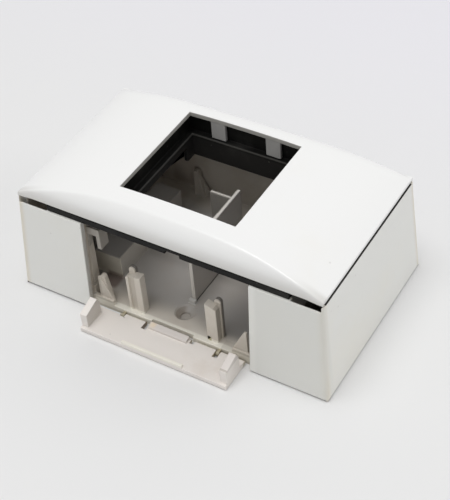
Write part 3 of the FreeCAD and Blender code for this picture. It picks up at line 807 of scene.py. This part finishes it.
def outer_walls(tree, place, along_x, along_y):
    """Outside of the box: aged in patches, warm at the corners, painted shade on the right wing and a
    painted shadow along the foot.
    """
    aged = use_group(tree, PATCHES, Scale=22.0, From=0.45, To=0.75)
    corner = add_math(tree, "MAXIMUM", along_x, along_y)
    near_corner = add_fall(tree, corner, 0.6 * MM, 3.4 * MM)
    base = tint(tree, WHITE_SHELL, AGED_AND_LIT_WHITE, aged["Mask"], 0.25)
    base = tint(tree, base, WARM_EDGE, near_corner, 0.9)
    # Painted shade on the right wing's front
    right_wing_shade = spot(tree, place, (36.0, 61.0), (-37.0, -33.0), (0.0, 40.0), 2.0)
    base = tint(tree, base, SHELL_SHADE, right_wing_shade, 0.7)
    # Painted shadow along the foot of the walls, darker on the left
    foot_shadow = add_fall(tree, place["Z"], 0.55 * MM, 0.85 * MM)
    left_foot_shadow = add_fall(tree, place["X"], -36.0 * MM, -30.0 * MM)
    base = tint(tree, base, GAP_SHADE, foot_shadow, 0.3)
    return tint(tree, base, GAP_SHADE, add_math(tree, "MULTIPLY", foot_shadow, left_foot_shadow), 0.6)


def inner_walls(tree, along_y):
    """Inside of the box: painted shade, light near the entry and greyer further in, smudged with brown
    dirt.
    """
    smudge = use_group(tree, PATCHES, Scale=110.0, From=0.4, To=0.8)
    # Painted shade, deepening further in from the entry
    deep_shade = add_ramp(tree, along_y, 7.0 * MM, 15.0 * MM)
    inside_shade_and_dirt = tint(tree, ENTRY_SHADE, INNER_SHADE, deep_shade, 1.0)
    return tint(tree, inside_shade_and_dirt, BROWN_STAIN, smudge["Mask"], 0.16)


def posts_and_sill(tree, place, inside_shade_and_dirt):
    """Painted shade in the left post's groove and on the tongues behind both posts, and the sill painted
    light with painted shade at its ends.
    """
    # Painted shade in the left post's groove
    groove_shade = spot(tree, place, (-17.4, -14.9), (-31.7, -31.5), (3.0, 20.5), 0.05)
    inside_shade_and_dirt = tint(tree, inside_shade_and_dirt, DARK_SHADE, groove_shade, 0.3)
    # Painted shade on the tongues behind both posts
    for side in (-1, 1):
        across = on_side(side, TONGUE_CENTRE, TONGUE_HALF)
        tongue_shade = spot(tree, place, across, (-29.1, -27.7), (3.0, 21.4), 0.1)
        inside_shade_and_dirt = tint(tree, inside_shade_and_dirt, TONGUE_SHADE, tongue_shade, 1.0)
    # Painted light on the sill's front face, with painted shade towards its ends
    sill_face = spot(tree, place, ENTRY_WIDTH, (-34.1, -33.8), (0.0, 4.5), 0.1)
    sill_ends = add_ramp(tree, add_math(tree, "ABSOLUTE", place["X"]), 16.0 * MM, 20.0 * MM)
    sill_face_end_shade = add_math(tree, "MULTIPLY", sill_face, sill_ends)
    inside_shade_and_dirt = tint(tree, inside_shade_and_dirt, HIGHLIGHT_CREAM, sill_face, 0.9)
    inside_shade_and_dirt = tint(tree, inside_shade_and_dirt, DARK_SHADE, sill_face_end_shade, 0.5)
    # Painted light on the sill's top and the floor just behind it
    sill_top_light = spot(tree, place, ENTRY_WIDTH, (-34.2, -32.2), (1.5, 3.2), 0.8)
    inside_shade_and_dirt = tint(tree, inside_shade_and_dirt, HIGHLIGHT_CREAM, sill_top_light, 0.85)
    eye = spot(tree, place, (14.0, 15.3), (-32.4, -31.7), (2.6, 4.4), 0.1)
    return tint(tree, inside_shade_and_dirt, EYE_CREAM, eye, 1.0)


def inner_room(tree, place, along_y, inside_shade_and_dirt):
    """Painted shade on the right, on the bench's top and the far room, painted light on the bench's front
    and side and the divider's stop, a painted shadow below the bench, a rust stain in the far corner, and
    painted shade in the sunk fixing hole.
    """
    right_side = add_ramp(tree, place["X"], 4.0 * MM, 20.0 * MM)
    shaded = add_math(tree, "MULTIPLY", right_side, add_ramp(tree, along_y, 5.0 * MM, 11.0 * MM))
    inside_shade_and_dirt = tint(tree, inside_shade_and_dirt, GREY_SHADE, shaded, 0.75)
    # Painted light on the bench's front and side, painted shade on its top
    bench_light = spot(tree, place, (-41.0, -29.0), (-21.0, -20.4), (2.8, 11.9), 0.3)
    inside_shade_and_dirt = tint(tree, inside_shade_and_dirt, AGED_AND_LIT_WHITE, bench_light, 0.6)
    bench_top = spot(tree, place, (-41.0, -29.4), (-20.4, 0.0), (12.0, 12.6), 0.2)
    inside_shade_and_dirt = tint(tree, inside_shade_and_dirt, GREY_SHADE, bench_top, 0.36)
    bench_side_light = spot(tree, place, (-29.8, -29.3), (-20.4, 0.0), (2.8, 12.2), 0.2)
    inside_shade_and_dirt = tint(tree, inside_shade_and_dirt, AGED_AND_LIT_WHITE, bench_side_light, 0.2)
    # Painted shadow below the bench
    below_bench_shadow = spot(tree, place, (-35.0, -30.0), (-25.5, -21.0), (1.5, 2.9), 2.0)
    inside_shade_and_dirt = tint(tree, inside_shade_and_dirt, RUST_STAIN_AND_SHADE, below_bench_shadow, 0.65)
    # Painted shade over the far room
    rear_room = spot(tree, place, (-27.0, 60.0), (-4.0, 40.0), (0.0, 40.0), 4.0)
    inside_shade_and_dirt = tint(tree, inside_shade_and_dirt, GREY_SHADE, rear_room, 0.28)
    # A rust stain in the far left corner
    rear_corner = spot(tree, place, (-40.0, -31.0), (28.0, 36.0), (5.0, 20.0), 3.0)
    inside_shade_and_dirt = tint(tree, inside_shade_and_dirt, RUST_STAIN_AND_SHADE, rear_corner, 0.3)
    # Painted light on the divider's stop
    divider_stop_light = spot(tree, place, (-1.5, 1.5), (-20.6, -18.8), (2.6, 4.4), 0.1)
    inside_shade_and_dirt = tint(tree, inside_shade_and_dirt, WHITE_SHELL, divider_stop_light, 0.4)
    # Painted shade in the left side of the sunk fixing hole
    hole_side = spot(tree, place, (-3.8, -2.0), (-28.6, -21.4), (-1.0, 5.0), 1.8)
    sunk = add_fall(tree, place["Z"], 1.95 * MM, 2.2 * MM)
    hole_shade = add_math(tree, "MULTIPLY", hole_side, sunk)
    return tint(tree, inside_shade_and_dirt, DARK_STAIN_AND_SHADE, hole_shade, 0.4)


def entry_sides(tree, place, along_y, inside_shade_and_dirt):
    """Painted shade at both sides of the entry: on the right post, the hook and rail on the left, and the
    sill's right end.
    """
    # Painted shade at the outer sides of the entry near its front, on the right post's side, the hook, the
    # sill's right end and the rail
    outer_entry = add_ramp(tree, add_math(tree, "ABSOLUTE", place["X"]), 22.0 * MM, 26.0 * MM)
    near_front = add_fall(tree, along_y, 8.0 * MM, 10.0 * MM)
    inside_shade_and_dirt = tint(tree, inside_shade_and_dirt, DARK_SHADE, add_math(tree, "MULTIPLY", outer_entry, near_front), 0.2)
    post_side_shade = spot(tree, place, (17.0, 19.5), (-32.1, -29.2), (3.0, 20.0), 0.1)
    inside_shade_and_dirt = tint(tree, inside_shade_and_dirt, DARK_SHADE, post_side_shade, 0.5)
    hook_shade = spot(tree, place, (-33.2, -26.0), (-33.0, -26.0), (26.5, 40.0), 0.3)
    inside_shade_and_dirt = tint(tree, inside_shade_and_dirt, HOOK_SHADE, hook_shade, 0.75)
    sill_right_end_shade = spot(tree, place, (20.0, 33.0), (-34.2, -30.0), (0.0, 5.5), 0.5)
    inside_shade_and_dirt = tint(tree, inside_shade_and_dirt, DARK_SHADE, sill_right_end_shade, 0.25)
    rail_shade = spot(tree, place, (-33.2, -29.5), (-33.5, -28.0), (3.0, 26.0), 0.5)
    return tint(tree, inside_shade_and_dirt, DARK_SHADE, rail_shade, 0.35)


def white_shell_finish():
    """Satin white outside, warmer along its corners, with painted shade and some brown dirt inside."""
    material, tree, shader = new_finish("white_shell_plastic", roughness=0.42)
    grain = use_group(tree, GRAIN, Grain_Scale=2200.0, Cloud_Scale=70.0)
    specks = use_group(tree, SPECKS, Scale=300.0, Size=0.11, Share=0.95)
    place = split_place(tree)
    along_x = wall_depth(tree, place, "X", BOX_LENGTH / 2)
    along_y = wall_depth(tree, place, "Y", BOX_DEPTH / 2)
    base = outer_walls(tree, place, along_x, along_y)
    inside_shade_and_dirt = inner_walls(tree, along_y)
    inside_shade_and_dirt = posts_and_sill(tree, place, inside_shade_and_dirt)
    inside_shade_and_dirt = inner_room(tree, place, along_y, inside_shade_and_dirt)
    inside_shade_and_dirt = entry_sides(tree, place, along_y, inside_shade_and_dirt)
    # The inside takes the painted shade and dirt colour
    inside = add_ramp(tree, add_math(tree, "MINIMUM", along_x, along_y), 1.1 * MM, 2.0 * MM)
    base = tint(tree, base, inside_shade_and_dirt, inside, 1.0)
    # Painted shade on the left jamb's face
    jamb_face_shade = spot(tree, place, (-33.0, -32.4), (-36.5, -33.0), (3.0, 41.0), 0.15)
    base = tint(tree, base, HOOK_SHADE, jamb_face_shade, 0.55)
    hinge = spot(tree, place, HINGE_WIDTH, (-36.8, -34.0), (-0.2, 2.3), 0.1)
    base = tint(tree, base, OLIVE_STAIN, hinge, 0.8)
    # Painted shade in the gap below the cover
    gap_shade = spot(tree, place, (-61.0, 61.0), (-32.0, 32.0), (40.75, 41.5), 0.1)
    base = tint(tree, base, GAP_SHADE, gap_shade, 1.0)
    base = tint(tree, base, GREY_DUST, specks["Mask"], 0.4)
    finish_surface(tree, shader, base, grain, swing=0.08, bump=0.25)
    return material


def white_cover_finish():
    """Polished white, with painted shade on the lower front roll, the opening's wall and the legs."""
    material, tree, shader = new_finish("white_cover_plastic", roughness=0.21)
    grain = use_group(tree, GRAIN, Grain_Scale=1500.0, Cloud_Scale=45.0)
    aged = use_group(tree, PATCHES, Scale=18.0, From=0.5, To=0.8)
    specks = use_group(tree, SPECKS, Scale=240.0, Size=0.09, Share=0.97)
    base = tint(tree, WHITE_COVER, AGED_AND_LIT_WHITE, aged["Mask"], 0.2)
    base = tint(tree, base, GREY_DUST, specks["Mask"], 0.35)
    place = split_place(tree)
    # Painted shade on the legs
    legs = spot(tree, place, (-15.0, 15.0), (-24.5, 24.5), (41.0, 50.3), 0.3)
    base = tint(tree, base, LEG_SHADE, legs, 1.0)
    # Painted shade on the front roll, darker towards the rim
    low_roll_shade = add_fall(tree, place["Z"], 42.0 * MM, 48.5 * MM)
    front_roll = add_fall(tree, place["Y"], -32.0 * MM, -29.5 * MM)
    base = tint(tree, base, ROLL_SHADE, add_math(tree, "MULTIPLY", low_roll_shade, front_roll), 0.7)
    # Painted shade on the opening's wall
    opening_wall_shade = spot(tree, place, (-22.5, 22.5), (-22.5, 22.5), (48.0, 52.3), 0.08)
    base = tint(tree, base, OPENING_SHADE, opening_wall_shade, 1.0)
    finish_surface(tree, shader, base, grain, swing=0.05, bump=0.06)
    return material


def warm_white_finish():
    """Slightly yellowed satin white, stained at the hinge and its slits with painted shade in the left
    slit, painted light on the rib, and painted light and shade on the cheeks.
    """
    material, tree, shader = new_finish("warm_white_plastic", roughness=0.38)
    grain = use_group(tree, GRAIN, Grain_Scale=2000.0, Cloud_Scale=80.0)
    stains = use_group(tree, PATCHES, Scale=60.0, From=0.52, To=0.72)
    specks = use_group(tree, SPECKS, Scale=330.0, Size=0.14, Share=0.92)
    base = tint(tree, WARM_WHITE, BROWN_STAIN, stains["Mask"], 0.14)
    place = split_place(tree)
    hinge = spot(tree, place, HINGE_WIDTH, (-36.0, -34.0), FLAP_PLATE, 0.1)
    base = tint(tree, base, OLIVE_STAIN, hinge, 0.5)
    bar = spot(tree, place, (-8.0, 8.0), (-37.4, -34.8), (2.3, 3.8), 0.1)
    base = tint(tree, base, CHEEK_SHADE, bar, 0.45)
    # Painted light on the front rib
    rib_light = spot(tree, place, (-12.5, 12.5), (-47.8, -46.4), (2.2, 3.4), 0.1)
    base = tint(tree, base, HIGHLIGHT_CREAM, rib_light, 0.85)
    # Brown stain and painted shade in the left slit
    left_slit = spot(tree, place, (-10.4, -8.4), FLAP_SLITS, FLAP_PLATE, 0.15)
    base = tint(tree, base, DARK_STAIN_AND_SHADE, left_slit, 0.85)
    right_slot = spot(tree, place, (18.6, 20.6), FLAP_SLITS, FLAP_PLATE, 0.15)
    base = tint(tree, base, OLIVE_STAIN, right_slot, 0.85)
    glow = spot(tree, place, (-6.6, -6.4), (-36.0, -35.8), (3.0, 3.4), 1.9)
    base = tint(tree, base, CREAM_STAIN, glow, 0.65)
    # Painted shade on the cheeks' inner faces, the right cheek's top and its front line; painted light on
    # their fronts and the left cheek's top
    for side in (-1, 1):
        inner = on_side(side, CHEEK_INNER, CHEEK_SKIN)
        cheek_inner_shade = spot(tree, place, inner, (-46.4, -38.2), (2.3, 9.6), 0.1)
        base = tint(tree, base, DARK_SHADE, cheek_inner_shade, 0.35)
        across = on_side(side, CHEEK_CENTRE, CHEEK_HALF)
        cheek_front_light = spot(tree, place, across, (-46.7, -46.35), (2.3, 8.0), 0.1)
        base = tint(tree, base, CHEEK_LIGHT, cheek_front_light, 0.1)
    left_top_light = spot(tree, place, (-29.9, -27.15), (-46.6, -38.0), CHEEK_TOPS, 0.15)
    base = tint(tree, base, CHEEK_LIGHT, left_top_light, 0.3)
    right_top_shade = spot(tree, place, (26.9, 29.9), (-45.9, -38.0), CHEEK_TOPS, 0.15)
    base = tint(tree, base, CHEEK_SHADE, right_top_shade, 0.5)
    right_line_shade = spot(tree, place, (27.1, 29.7), (-46.3, -45.7), (7.6, 8.4), 0.15)
    base = tint(tree, base, DARK_SHADE, right_line_shade, 0.6)
    base = tint(tree, base, GREY_DUST, specks["Mask"], 0.5)
    finish_surface(tree, shader, base, grain, swing=0.08, bump=0.2)
    return material


def white_divider_finish():
    """Satin white with painted shade on its faces and painted highlights along its edges, deeper painted
    shade behind its short wing, and a painted shadow at its foot.
    """
    material, tree, shader = new_finish("white_divider_plastic", roughness=0.45)
    grain = use_group(tree, GRAIN, Grain_Scale=2200.0, Cloud_Scale=60.0)
    aged = use_group(tree, PATCHES, Scale=30.0, From=0.45, To=0.75)
    place = split_place(tree)
    # Painted highlights along the divider's top and front edges
    plate_edge = spot(tree, place, (-0.25, 0.4), (-19.0, 16.2), DIVIDER_TOP, 0.12)
    wing_edge = spot(tree, place, (-9.0, -0.5), (10.8, 11.1), DIVIDER_TOP, 0.12)
    front_edge = spot(tree, place, (-0.8, 0.8), (-18.9, -18.5), DIVIDER_HEIGHT, 0.1)
    edge_highlight = add_math(tree, "MAXIMUM", plate_edge, add_math(tree, "MAXIMUM", wing_edge, front_edge))
    # Painted shade on the faces behind the short wing
    left_rear_shade = spot(tree, place, (-9.2, -0.5), (2.0, 16.2), DIVIDER_HEIGHT, 0.4)
    base = tint(tree, DIVIDER_FACE_SHADE, DIVIDER_SHADE, left_rear_shade, 0.85)
    base = tint(tree, base, WHITE_DIVIDER, edge_highlight, 1.0)
    # Painted shadow along the divider's foot
    divider_foot_shadow = spot(tree, place, (-9.2, 0.9), (-18.4, 16.2), (1.0, 2.9), 0.2)
    base = tint(tree, base, GAP_SHADE, divider_foot_shadow, 0.8)
    base = tint(tree, base, AGED_AND_LIT_WHITE, aged["Mask"], 0.15)
    finish_surface(tree, shader, base, grain, swing=0.08, bump=0.2)
    return material


def black_frame_finish():
    """Dull black, with painted light low on the collar and a painted highlight along the edge of the
    ledge, and pale dust in patches and specks.
    """
    material, tree, shader = new_finish("black_frame_plastic", roughness=0.45)
    shader.inputs["Specular IOR Level"].default_value = FRAME_SHINE
    grain = use_group(tree, GRAIN, Grain_Scale=1800.0, Cloud_Scale=120.0)
    dust = use_group(tree, PATCHES, Scale=70.0, From=0.5, To=0.8)
    specks = use_group(tree, SPECKS, Scale=500.0, Size=0.18, Share=0.9)
    place = split_place(tree)
    # Painted light low on the collar
    low_collar_light = spot(tree, place, (-24.0, 24.0), (-24.0, 24.0), (30.0, 40.5), 1.0)
    base = tint(tree, BLACK_FRAME, COLLAR_LIT_BLACK, low_collar_light, 1.0)
    # Painted highlight along the inner edge of the ledge
    level = within(tree, place["Z"], LEDGE_BOTTOM, LEDGE_TOP, LEDGE_SOFT)
    for axis, other in (("X", "Y"), ("Y", "X")):
        reach = within(tree, add_math(tree, "ABSOLUTE", place[axis]), LEDGE_INNER, LEDGE_OUTER, LEDGE_SOFT)
        along = within(tree, place[other], -LEDGE_OUTER, LEDGE_OUTER, LEDGE_SOFT)
        edge = add_math(tree, "MULTIPLY", add_math(tree, "MULTIPLY", reach, along), level)
        base = tint(tree, base, PALE_DUST_AND_SHEEN, edge, 0.22)
    base = tint(tree, base, PALE_DUST_AND_SHEEN, dust["Mask"], 0.12)
    base = tint(tree, base, PALE_DUST_AND_SHEEN, specks["Mask"], 0.35)
    finish_surface(tree, shader, base, grain, swing=0.1, bump=0.3)
    return material


# The pieces, each in its finish
hand_over(cover_moulding(), "cover_frame", "cover", white_cover_finish())
hand_over(box_moulding(), "base_box", "box", white_shell_finish())
hand_over(frame_moulding(), "support_frame", "box", black_frame_finish())
hand_over(flap_moulding(), "front_flap", "flap", warm_white_finish())
hand_over(divider_moulding(), "divider_plate", "box", white_divider_finish())


# Floor
FLOOR_SIDE = 6.0
FLOOR_DROP = 0.05 * MM
FLOOR_FADE_START = 0.02
FLOOR_FADE_END = 0.22


def pale_floor():
    """A pale table that turns a little cooler far behind the box, with painted shade below it."""
    deselect_all()
    bpy.ops.mesh.primitive_plane_add(size=FLOOR_SIDE, location=(0.0, 0.0, -FLOOR_DROP))
    floor = bpy.context.active_object
    floor.name = "floor"
    material, tree, shader = new_finish("pale_table", roughness=0.8)
    shader.inputs["Specular IOR Level"].default_value = FLOOR_SHINE
    place = split_place(tree)
    far = add_ramp(tree, place["Y"], FLOOR_FADE_START, FLOOR_FADE_END)
    base = tint(tree, FLOOR_NEAR, FLOOR_FAR, far, 1.0)
    # Painted shade on the table below the box
    under_shade = spot(tree, place, (-58.0, 58.0), (-32.0, 32.0), (-1.0, 1.0), 1.0)
    base = tint(tree, base, FLOOR_SHADE_UNDER, under_shade, 1.0)
    feed(tree, shader.inputs["Base Color"], base)
    floor.data.materials.append(material)


# Light: the sky's strength on the object, and as the camera and reflections see it
SKY_LIGHT = 0.52
SKY_SEEN = 0.81


def soft_lamp(name, place, side, power):
    """A square lamp that faces the middle of the box."""
    lamp = bpy.data.lights.new(name, "AREA")
    lamp.shape = "SQUARE"
    lamp.size = side
    lamp.energy = power
    holder = bpy.data.objects.new(name, lamp)
    bpy.context.scene.collection.objects.link(holder)
    holder.location = place
    holder.rotation_euler = (-Vector(place)).to_track_quat("-Z", "Y").to_euler()


def studio_light():
    """An even white sky, a soft lamp overhead and two weaker ones from the front and the right."""
    world = bpy.data.worlds.new("studio")
    bpy.context.scene.world = world
    world.use_nodes = True
    tree = world.node_tree
    sky = tree.nodes["Background"]
    sky.inputs["Color"].default_value = (1.0, 1.0, 1.0, 1.0)
    path = tree.nodes.new("ShaderNodeLightPath")
    seen = add_math(tree, "MAXIMUM", path.outputs["Is Camera Ray"], path.outputs["Is Glossy Ray"])
    seen = add_math(tree, "MAXIMUM", seen, path.outputs["Is Transmission Ray"])
    extra = add_math(tree, "MULTIPLY", seen, SKY_SEEN - SKY_LIGHT)
    feed(tree, sky.inputs["Strength"], add_math(tree, "ADD", extra, SKY_LIGHT))
    soft_lamp("overhead", place=(-0.08, -0.16, 1.25), side=0.7, power=7.3)
    soft_lamp("front", place=(-0.75, -1.0, 0.95), side=1.0, power=0.6)
    soft_lamp("window", place=(1.1, 0.5, 0.6), side=0.8, power=2.4)


# Camera, at the photograph's angle
CAMERA_PLACE = Vector((182.2, -266.5, 319.4)) * MM
CAMERA_AZIMUTH = math.radians(34.004)
CAMERA_ELEVATION = math.radians(43.658)
CAMERA_ROLL = math.radians(-5.158)
FOCAL_PIXELS = 1235.4
FRAME_HEIGHT = 500.0
SENSOR = 36.0


def photo_camera():
    """Camera at the photograph's place, turned and rolled as it was."""
    data = bpy.data.cameras.new("photo_camera")
    data.sensor_fit = "AUTO"
    data.sensor_width = SENSOR
    data.lens = FOCAL_PIXELS / FRAME_HEIGHT * SENSOR
    data.clip_start = 0.01
    data.clip_end = 20.0
    camera = bpy.data.objects.new("photo_camera", data)
    bpy.context.scene.collection.objects.link(camera)
    level = math.cos(CAMERA_ELEVATION)
    ahead = Vector((-math.sin(CAMERA_AZIMUTH) * level, math.cos(CAMERA_AZIMUTH) * level,
                    -math.sin(CAMERA_ELEVATION)))
    across = Vector((math.cos(CAMERA_AZIMUTH), math.sin(CAMERA_AZIMUTH), 0.0))
    upward = across.cross(ahead)
    right = across * math.cos(CAMERA_ROLL) + upward * math.sin(CAMERA_ROLL)
    up = upward * math.cos(CAMERA_ROLL) - across * math.sin(CAMERA_ROLL)
    turn = Matrix((right, up, -ahead)).transposed().to_4x4()
    camera.matrix_world = Matrix.Translation(CAMERA_PLACE) @ turn
    bpy.context.scene.camera = camera


# The studio round the box
pale_floor()
studio_light()
photo_camera()
bpy.context.scene.view_settings.view_transform = "Standard"
